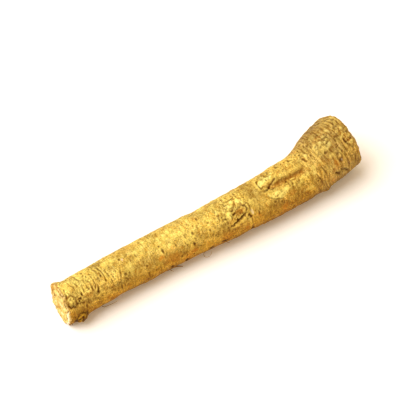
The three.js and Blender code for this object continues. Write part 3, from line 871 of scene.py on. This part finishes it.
def side_marks(skin, uneven):
    """The marks on the root's side, each from 0 to 1, except the rings' distance in metres."""
    at, turn = skin.at, skin.turn
    # How far each place lies below its surroundings: painted shade in the hollows, painted highlight on the
    # rises.
    hollow = (spread(uneven, HOLLOW_ROUNDS) - uneven) / HOLLOW_DEPTH
    marks = {layer: np.clip(values, 0, 1) for layer, values in skin.layers.items()}
    head = smoothstep(226, 252, at)
    marks["crevice_shade_and_streaks"] = np.clip(hollow, 0, 1) * (1 - 0.3 * head)
    marks["ridge_highlight"] = np.clip(-hollow, 0, 1) * (1 - 0.3 * head)
    marks["duller"] = smoothstep(150, 190, at)
    marks["head"] = head
    marks["ringed"] = ringed_places(skin)
    marks["ring_at"] = ring_distance(at, turn, skin.radius) * MM
    marks["calm"] = np.interp(at, *CALM.T)
    # Painted light: the front made paler.
    marks["front"] = np.interp(at, *PAINTED_FRONT_LIGHT.T) * bell(turn_between(30 + 20 * head, turn), 30)
    # Painted shade: darker and more brown down both lower sides, darkest on the bottom.
    marks["under"] = np.where(turn > 10, smoothstep(12, 80, turn - 10), smoothstep(42, 110, 10 - turn))
    marks["bottom_shade"] = smoothstep(86, 122, np.abs(turn))
    return marks


RIM_FADE, RIM_SHARE = 2.2, 0.35  # near the rims the fine relief sinks to this share


def skin_grid():
    """All the skin's rings from the tip's middle to the crown's, with the marks on them."""
    at_line = np.linspace(0, ROOT_LENGTH, SIDE_RINGS)
    turn_line = np.arange(POINTS_AROUND) * 360 / POINTS_AROUND - 180
    at, turn = np.meshgrid(at_line, turn_line, indexing="ij")
    radius = sections(at)[1]
    skin = Skin(at, turn, radius, placed(at, turn, np.zeros_like(at)))
    for add in (furrow, tip_wrinkles, tip_knob, tip_stub, tip_rim, scar_crumbs, scar_slit, scar_colours,
                bark_plate, head_rings, head_buds, head_cracks, head_colours, body_marks, scattered_marks,
                bark_texture):
        add(skin)
    fade = smoothstep(-0.5, RIM_FADE, at) * smoothstep(-0.5, RIM_FADE, ROOT_LENGTH - at)
    fine = skin.height * (RIM_SHARE + (1 - RIM_SHARE) * fade)
    height = plain_relief(at, turn, radius) + skin.form + fine
    tip, on_tip = cut_face(TIP_FACE, TIP_RINGS, 0, turn_line, height[0], TIP_MARKS, seed=81, way=-1)
    crown, on_crown = cut_face(CROWN_FACE, CROWN_RINGS, ROOT_LENGTH, turn_line, height[-1], CROWN_MARKS,
                               seed=82, way=1)
    on_crown["crown_end"] = on_crown["flesh"]
    points = np.concatenate([tip[::-1], placed(at, turn, height), crown])
    points[..., 2] = np.maximum(points[..., 2], 0)  # flat where it would lie below the floor

    on_side = side_marks(skin, fine + 0.5 * skin.form)
    parts = (tip, on_tip, -1), (at, on_side, 1), (crown, on_crown, 1)
    marks = {
        name: np.concatenate([on.get(name, np.zeros(part.shape[:2]))[::way] for part, on, way in parts])
        for name in MARKS
    }
    return points, marks


# The texture's layout: the side is a strip, and each cut end a disc with this centre and radius.
STRIP_START, STRIP_LENGTH, STRIP_HEIGHT = 0.01, 0.98, 0.76
TIP_DISC, CROWN_DISC = (0.13, 0.885, 0.0693), (0.38, 0.885, 0.105)


def skin_faces(points, marks):
    """The faces between rings and the fans that close the ends, and each corner's place on the texture."""
    rings, around = points.shape[:2]
    inward = marks["inward"][:, 0]

    def on_disc(disc, ring, share):
        """Texture place of a cut end's point at a share of the way round."""
        reach = disc[2] * (1 - inward[ring])
        return np.stack([disc[0] + reach * np.cos(2 * np.pi * share),
                         disc[1] + reach * np.sin(2 * np.pi * share)], -1)

    ring, column = np.meshgrid(np.arange(rings - 1), np.arange(around), indexing="ij")
    corner_ring = np.stack([ring, ring + 1, ring + 1, ring], -1)
    corner_column = np.stack([column + 1, column + 1, column, column], -1)
    quads = (corner_ring * around + corner_column % around).reshape(-1, 4)
    share = corner_column / around
    along = (corner_ring - TIP_RINGS) / (SIDE_RINGS - 1)
    uv = np.stack([STRIP_START + STRIP_LENGTH * along, STRIP_START + STRIP_HEIGHT * share], -1)
    # A face that joins the side to a cut end lies on the cut end's disc.
    first_crown_face = TIP_RINGS + SIDE_RINGS - 1
    uv = np.where((ring < TIP_RINGS)[..., None, None], on_disc(TIP_DISC, corner_ring, share), uv)
    uv = np.where((ring >= first_crown_face)[..., None, None], on_disc(CROWN_DISC, corner_ring, share), uv)

    faces, corners = quads.tolist(), [uv.reshape(-1, 2)]
    for disc, ring, middle, ends in (
        (TIP_DISC, 0, rings * around, (1, 0)),
        (CROWN_DISC, rings - 1, rings * around + 1, (0, 1)),
    ):
        column = np.arange(around)[:, None] + ends
        faces += [(a, b, middle) for a, b in (ring * around + column % around).tolist()]
        centres = np.broadcast_to(disc[:2], (around, 1, 2))
        fan = np.concatenate([on_disc(disc, np.full_like(column, ring), column / around), centres], 1)
        corners.append(fan.reshape(-1, 2))
    return faces, np.concatenate(corners)


def frame_offset(points):
    """The move that puts the middle of the form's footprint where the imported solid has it."""
    low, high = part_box(NODE)
    middle = (points.reshape(-1, 3).min(0) + points.reshape(-1, 3).max(0)) / 2
    target = (np.array(low) + np.array(high)) / 2 / MM
    return np.array([target[0] - middle[0], target[1] - middle[1], low.z / MM])


def point_numbers(rings, around, start=0):
    """The numbers of points that are made ring by ring."""
    return start + np.arange(rings * around).reshape(rings, around)


def faces_between(grid):
    """The faces between rings of points, given as a grid of the points' numbers."""
    after = np.roll(grid, -1, 1)
    return np.stack([grid[:-1], after[:-1], after[1:], grid[1:]], -1).reshape(-1, 4).tolist()


def new_object(name, vertices, faces, material):
    """An object in the scene, with a new mesh."""
    mesh = bpy.data.meshes.new(name)
    mesh.from_pydata(vertices, [], faces)
    mesh.materials.append(material)
    thing = bpy.data.objects.new(name, mesh)
    bpy.context.scene.collection.objects.link(thing)
    return thing


def make_skin():
    points, marks = skin_grid()
    points = points + frame_offset(points)
    faces, uv = skin_faces(points, marks)
    middles = np.stack([points[0].mean(0), points[-1].mean(0)])
    vertices = np.concatenate([points.reshape(-1, 3), middles]) * MM
    skin = new_object("horseradish_skin", vertices.tolist(), faces, skin_material())
    skin.data.uv_layers.new(name="OFBake").data.foreach_set("uv", uv.ravel())
    for name, values in marks.items():
        ends = [values[0].mean(), values[-1].mean()]
        layer = skin.data.attributes.new(name, "FLOAT", "POINT")
        layer.data.foreach_set("value", np.concatenate([values.ravel(), ends]).astype(np.float32))
    skin.data.shade_smooth()
    return skin


# ---- Hair roots ----

# Each path runs from inside the skin outwards, in frame mm; then its thickness.
HAIR_ROOTS = [
    ([(-113, -9, 3), (-111.8, -16.9, 5), (-107.7, -17.3, 4), (-103.5, -17.6, 3.5),
      (-98.6, -18.6, 5)], 0.6),
    ([(-51, -8, 3), (-49.3, -14.5, 4), (-45.8, -15.1, 4), (-41.7, -15.4, 3.5), (-38.3, -16.6, 3),
      (-35, -18.4, 2.5)], 2.4),
    ([(-47.5, -9, 3), (-46.4, -15.6, 3.6), (-44, -18.6, 2.6)], 0.7),
    ([(-13.6, -11, 6), (-12.4, -18, 7), (-14.5, -18.7, 5), (-15.3, -21, 4), (-13.6, -22.9, 4),
      (-10.5, -23.1, 5), (-8.6, -21.8, 8)], 0.5),
    ([(-142, -8, 3), (-143.4, -11.4, 2.4), (-144, -13.4, 2)], 1.5),
    ([(-139.5, -10, 3), (-140.8, -14.4, 3), (-141.3, -16.6, 2.4)], 1.3),
    ([(-141, -9, 2.4), (-142.6, -13, 1.4), (-142.9, -15.4, 0.9)], 1.1),
    ([(7.4, -14.5, 4), (7.9, -19.6, 5), (10, -21.6, 4.6)], 0.7),
    ([(33, -14.5, 4), (33.7, -19.1, 5), (36.4, -21, 4.4)], 0.7),
    ([(110.5, -16.5, 6), (110.9, -21.7, 6), (113.4, -23.6, 5.4)], 0.7),
    ([(-21, 8, 7), (-18, 17.6, 6), (-13, 21, 5), (-6, 21.6, 4.4)], 0.7),
    ([(72, 8, 7), (75, 17.6, 6.4), (80, 21.6, 5)], 0.8),
]
HAIR_SIDES, HAIR_STEPS = 6, 14


def hair_root(path, thickness):
    """The points of a tapered tube along a path: a ring of them at each step."""
    path = np.array(path, float)
    numbered = np.column_stack([np.arange(len(path)), path])
    line = np.stack(through(numbered, np.linspace(0, len(path) - 1, HAIR_STEPS)), -1)
    line[:, 2] = np.maximum(line[:, 2], thickness / 2)
    ways = np.gradient(line, axis=0)
    ways /= np.linalg.norm(ways, axis=1)[:, None]
    first = np.cross(ways, (0.3, 0.2, 1.0))
    first /= np.linalg.norm(first, axis=1)[:, None]
    second = np.cross(ways, first)
    taper = thickness / 2 * (1 - 0.75 * np.linspace(0, 1, HAIR_STEPS) ** 1.5)
    angle = (2 * np.pi * np.arange(HAIR_SIDES) / HAIR_SIDES)[:, None]
    rings = [
        place + radius * (np.cos(angle) * side + np.sin(angle) * other)
        for place, radius, side, other in zip(line, taper, first, second)
    ]
    return np.concatenate(rings)


def make_hair_roots():
    points, faces = [], []
    for path, thickness in HAIR_ROOTS:
        grid = point_numbers(HAIR_STEPS, HAIR_SIDES, len(points))
        faces += [*faces_between(grid), grid[0, ::-1].tolist(), grid[-1].tolist()]
        points += (hair_root(path, thickness) * MM).tolist()
    hairs = new_object("hair_roots", points, faces, hair_material())
    hairs.data.shade_smooth()
    return hairs


# ---- Materials ----

def srgb(r, g, b):
    """A colour given as 0-255 screen values, as the linear values that shaders use."""
    return tuple(((c / 255 + 0.055) / 1.055) ** 2.4 if c > 10 else c / 255 / 12.92
                 for c in (r, g, b)) + (1.0,)


class Nodes:
    """Short ways to make a material's nodes."""

    def __init__(self, name):
        self.material = bpy.data.materials.new(name)
        self.material.use_nodes = True
        self.tree = self.material.node_tree
        self.shader = self.tree.nodes["Principled BSDF"]
        self.coordinates = self.node("TexCoord").outputs["Object"]

    def node(self, kind, **inputs):
        """A new node, with links or values on its inputs."""
        node = self.tree.nodes.new("ShaderNode" + kind)
        for name, value in inputs.items():
            self.feed(node.inputs[name.replace("_", " ")], value)
        return node

    def feed(self, socket, value):
        if isinstance(value, bpy.types.NodeSocket):
            self.tree.links.new(value, socket)
        else:
            socket.default_value = value

    def shade(self, **inputs):
        """Sets the shader's inputs."""
        for name, value in inputs.items():
            self.feed(self.shader.inputs[name.replace("_", " ")], value)

    def mark(self, name, pattern=None):
        """One of the mesh's marks, alone or times a pattern or a number."""
        node = self.node("Attribute")
        node.attribute_name = name
        mark = node.outputs["Fac"]
        return mark if pattern is None else self.times(mark, pattern)

    def with_x(self, x):
        """The object's coordinates with another X."""
        parts = self.node("SeparateXYZ", Vector=self.coordinates).outputs
        return self.node("CombineXYZ", X=x, Y=parts["Y"], Z=parts["Z"]).outputs[0]

    def noise(self, size, detail=4, roughness=0.55, distortion=0, stretch=(1, 1, 1), seed=0,
              coordinates=None):
        """Noise of 0-1 with features about `size` mm apart."""
        mapping = self.node("Mapping", Vector=coordinates or self.coordinates, Scale=stretch,
                            Location=(seed, seed, seed))
        node = self.node("TexNoise", Vector=mapping.outputs["Vector"], Scale=1 / (size * MM),
                         Detail=detail, Roughness=roughness, Distortion=distortion)
        return node.outputs["Fac"]

    def math(self, operation, a, b):
        node = self.node("Math")
        node.operation = operation
        self.feed(node.inputs[0], a)
        self.feed(node.inputs[1], b)
        return node.outputs[0]

    def times(self, a, b):
        return self.math("MULTIPLY", a, b)

    def ramp(self, value, low, high, start=0, end=1):
        node = self.node("MapRange", Value=value, From_Min=low, From_Max=high, To_Min=start, To_Max=end)
        node.interpolation_type = "SMOOTHSTEP"
        return node.outputs["Result"]

    def mix(self, factor, a, b, blend="MIX"):
        node = self.tree.nodes.new("ShaderNodeMix")
        node.data_type, node.blend_type = "RGBA", blend
        node.clamp_factor = True
        for name, value in (("Factor", factor), ("A", a), ("B", b)):
            self.feed(node.inputs[name], value)
        return node.outputs["Result"]

    def paint(self, colour, *coats):
        """A colour under some coats: each a factor and the screen colour that goes over the others."""
        for factor, tone in coats:
            colour = self.mix(factor, colour, srgb(*tone))
        return colour

    def tint(self, colour, *tints):
        """A colour times others: each a factor and what to multiply by."""
        for factor, tone in tints:
            colour = self.mix(factor, colour, tone, "MULTIPLY")
        return colour


def bark_colour(n, grain, speckle):
    """Bark: golden, mottled, with paler and browner crumbs that are thicker in some places."""
    calm = n.mark("calm")
    broad = n.noise(24, 3, 0.5)
    blotch = n.noise(9, 4, 0.6, 0.8)
    light = n.noise(6, 4, 0.6, 0.6, seed=1)
    tint = n.noise(4.2, 3, 0.6, seed=2)
    dust = n.ramp(n.noise(0.85, 2, 0.7, seed=4), 0.3, 0.7, 0.45, 1.69)
    cloudy = n.ramp(n.noise(13, 2, 0.5, seed=6), 0.34, 0.66, 0.8, 1.19)
    mottled = n.ramp(calm, 0, 1, 1, 0.6)
    crumbly = n.ramp(n.noise(15, 3, 0.6, seed=5), 0.4, 0.6, 0.22, 0.72)
    for smooth in (n.mark("head"), calm):
        crumbly = n.times(crumbly, n.ramp(smooth, 0, 1, 1, 0.45))
    colour = n.paint(
        n.mix(n.ramp(broad, 0.36, 0.64), srgb(195, 166, 72), srgb(209, 183, 88)),
        (n.times(mottled, n.ramp(light, 0.47, 0.6, 0, 0.72)), (243, 221, 122)),
        (n.times(mottled, n.ramp(blotch, 0.48, 0.62, 0, 0.75)), (176, 136, 50)),
        (n.ramp(tint, 0.54, 0.68, 0, 0.5), (208, 144, 42)),
        (n.ramp(tint, 0.44, 0.3, 0, 0.5), (160, 134, 78)),
        (n.ramp(grain, 0.5, 0.68, 0, 0.48), (248, 223, 132)),
        (n.ramp(grain, 0.5, 0.32, 0, 0.45), (150, 99, 28)),
        # Browner and paler crumbs; the paler ones are partly painted glints.
        (n.times(n.ramp(speckle, 0.52, 0.68), crumbly), (128, 80, 14)),
        (n.times(n.ramp(speckle, 0.46, 0.32), crumbly), (255, 228, 122)),
    )
    return n.tint(colour, (n.ramp(calm, 0, 1, 1, 0.55), dust), (mottled, cloudy))


def skin_colour(n, grain, speckle):
    """The bark's colour under stains, rings and bare places, with painted light and shade, duller by place.
    """
    rings = n.noise(1.5, 3, 0.65, stretch=(1, 0.07, 0.07), coordinates=n.with_x(n.mark("ring_at")))
    colour = n.paint(
        bark_colour(n, grain, speckle),
        (n.mark("olive", n.ramp(grain, 0.3, 0.6, 0.9, 0.4)), (134, 102, 44)),
        (n.mark("orange", n.ramp(speckle, 0.3, 0.6, 0.9, 0.4)), (216, 138, 28)),
        (n.mark("ringed", n.ramp(rings, 0.5, 0.62, 0, 0.8)), (132, 92, 38)),
        (n.mark("ringed", n.ramp(rings, 0.46, 0.34, 0, 0.8)), (240, 210, 124)),
    )
    colour = n.tint(colour, (n.mark("duller"), (0.93, 0.88, 0.78, 1)))
    colour = n.paint(
        colour,
        # Pale is paler bark and, on raised places, painted highlight; glint is painted highlight.
        (n.mark("pale", n.ramp(speckle, 0.35, 0.6, 1, 0.5)), (255, 236, 120)),
        (n.mark("glint", n.ramp(speckle, 0.46, 0.66, 1, 0.6)), (255, 247, 146)),
        # Painted highlight on the rises and painted shade in the hollows; the dark layer adds painted shade
        # in creases and pits, and dark spots.
        (n.mark("ridge_highlight", 0.52), (252, 222, 110)),
        (n.mark("crevice_shade_and_streaks", 0.64), (116, 68, 8)),
        (n.mark("dark", 0.95), (74, 42, 6)),
    )
    # The head is duller; the rest is painted light and shade: the front lighter, the lower sides darker and
    # more brown, the bottom darker still.
    lower_side_shade = n.mark("under", n.math("SUBTRACT", 1, n.mark("head", 0.75)))
    colour = n.tint(
        colour,
        (n.mark("head"), (0.80, 0.765, 0.85, 1)),
        (n.mark("front"), (1.26, 1.26, 1.22, 1)),
        (lower_side_shade, (0.78, 0.57, 0.22, 1)),
        (n.mark("bottom_shade"), (0.52, 0.42, 0.30, 1)),
    )
    return n.paint(colour, (n.mark("white", n.ramp(speckle, 0.4, 0.62, 1, 0.4)), (238, 216, 180)))


def flesh_colour(n):
    """Flesh on the cut ends: cream, with a tan ring under the skin and darker streaks."""
    inward = n.mark("inward")
    streaks = n.noise(1.8, 4, 0.65, 0.5, stretch=(0.6, 1, 0.35))
    streaky = n.ramp(streaks, 0.4, 0.65)
    cambium = n.times(n.ramp(inward, 0.2, 0.25), n.ramp(inward, 0.31, 0.26))
    cambium = n.times(cambium, n.ramp(streaks, 0.36, 0.56, 0.15, 0.8))
    dry = n.mix(streaky, srgb(214, 172, 100), srgb(168, 122, 60))
    flesh = n.paint(
        n.mix(streaky, srgb(242, 217, 130), srgb(212, 173, 84)),
        (n.ramp(inward, 0.11, 0.03, 0, 0.95), (158, 112, 46)),
        # Painted highlight on the raised fibres, and painted shade in the dents with radial streaks.
        (n.mark("ridge_highlight", 0.6), (252, 234, 170)),
        (n.mark("crevice_shade_and_streaks", 0.7), (166, 112, 42)),
    )
    flesh = n.mix(n.mark("crown_end", 0.6), flesh, dry)
    return n.paint(
        flesh,
        (cambium, (158, 118, 58)),
        (n.mark("orange", 0.85), (180, 122, 40)),
        (n.mark("pale", 0.85), (255, 240, 180)),
        (n.mark("dark", 0.85), (84, 50, 16)),
        (n.mark("white", 0.8), (255, 246, 216)),
    )


def skin_material():
    n = Nodes("root_skin")
    grain = n.noise(2, 4, 0.65, 0.3, stretch=(1, 0.36, 0.36))
    speckle = n.noise(1.3, 3, 0.75, seed=3)
    is_flesh = n.ramp(n.mark("flesh"), 0.3, 0.7)
    bumps = n.math("SUBTRACT", n.times(grain, 0.9), n.times(speckle, 0.9))
    bump = n.node("Bump", Strength=0.8, Distance=0.8 * MM, Height=bumps)
    n.shade(
        Base_Color=n.mix(is_flesh, skin_colour(n, grain, speckle), flesh_colour(n)),
        Roughness=n.ramp(speckle, 0.3, 0.7, 0.42, 0.75),
        Specular_IOR_Level=0.07,
        Normal=bump.outputs["Normal"],
    )
    return n.material


def hair_material():
    n = Nodes("hair_root_skin")
    tone = n.noise(2.5, 3, 0.6)
    n.shade(Base_Color=n.mix(tone, srgb(122, 84, 36), srgb(172, 130, 62)), Roughness=0.7)
    return n.material


def floor_material():
    """White, with a faint warm glow that keeps the shadow light."""
    n = Nodes("floor_white")
    n.shade(Base_Color=(0.95, 0.95, 0.95, 1), Roughness=0.9, Specular_IOR_Level=0.1,
            Emission_Color=(1, 0.8, 0.5, 1), Emission_Strength=0.12)
    return n.material


def backdrop_material():
    n = Nodes("backdrop_white")
    n.shade(Base_Color=(0, 0, 0, 1), Specular_IOR_Level=0, Emission_Color=(1, 1, 1, 1),
            Emission_Strength=1.1)
    return n.material


# ---- Floor, light and camera ----

STAGE_RADIUS, STAGE_HEIGHT, STAGE_SIDES = 6.0, 4.0, 48


def stage_circle(height):
    turns = [2 * math.pi * i / STAGE_SIDES for i in range(STAGE_SIDES)]
    return [(STAGE_RADIUS * math.cos(t), STAGE_RADIUS * math.sin(t), height) for t in turns]


def make_floor(height):
    return new_object("floor", stage_circle(height), [range(STAGE_SIDES)], floor_material())


def make_backdrop(height):
    """A white wall far behind the root. Only the camera sees it, so that it lights nothing."""
    points = stage_circle(height) + stage_circle(height + STAGE_HEIGHT)
    wall = new_object("backdrop", points, faces_between(point_numbers(2, STAGE_SIDES)),
                      backdrop_material())
    wall.visible_diffuse = wall.visible_glossy = wall.visible_shadow = False
    return wall


def aimed(obj, place, target):
    """Puts a light or a camera at a place, looking at a target."""
    obj.location = place
    obj.rotation_mode = "QUATERNION"
    obj.rotation_quaternion = (Vector(target) - Vector(place)).to_track_quat("-Z", "Y")
    bpy.context.scene.collection.objects.link(obj)
    return obj


WORLD_LIGHT = (0.60, 0.46, 0.31, 1)  # warm, so the soft shadow is warm too
KEY_WAY = Vector((-0.50, 0.24, 0.84))  # from the root towards the light
KEY_POWER = 3.15
KEY_SPREAD = 54.0  # degrees across, as a large softbox is from the root


def make_light():
    world = bpy.data.worlds.new("studio")
    world.use_nodes = True
    world.node_tree.nodes["Background"].inputs["Color"].default_value = WORLD_LIGHT
    bpy.context.scene.world = world
    key = bpy.data.lights.new("key", "SUN")
    key.energy, key.angle = KEY_POWER, math.radians(KEY_SPREAD)
    aimed(bpy.data.objects.new("key", key), KEY_WAY, (0, 0, 0))


CAMERA_AZIMUTH, CAMERA_ELEVATION = -33.5, 55.0
CAMERA_DISTANCE, CAMERA_LENS, SENSOR_WIDTH = 1.679, 180.0, 36.0
CAMERA_AIM = Vector((7.1, 19.7, -5.9)) * MM  # from the middle of the root's box
CLIP_START, CLIP_END = 0.05, 60.0


def make_camera(centre):
    data = bpy.data.cameras.new("camera")
    data.lens, data.sensor_width = CAMERA_LENS, SENSOR_WIDTH
    data.clip_start, data.clip_end = CLIP_START, CLIP_END
    a, e = math.radians(CAMERA_AZIMUTH), math.radians(CAMERA_ELEVATION)
    back = Vector((math.sin(a) * math.cos(e), -math.cos(a) * math.cos(e), math.sin(e)))
    target = centre + CAMERA_AIM
    camera = aimed(bpy.data.objects.new("camera", data), target + back * CAMERA_DISTANCE, target)
    bpy.context.scene.camera = camera


def main():
    low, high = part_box(NODE)
    make_camera((low + high) / 2)
    make_light()
    make_floor(low.z)
    make_backdrop(low.z)

    skin = make_skin()
    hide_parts(NODE)
    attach(skin, BODY)

    hairs = make_hair_roots()
    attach(hairs, BODY)

    bpy.context.scene.view_settings.view_transform = "Standard"


main()
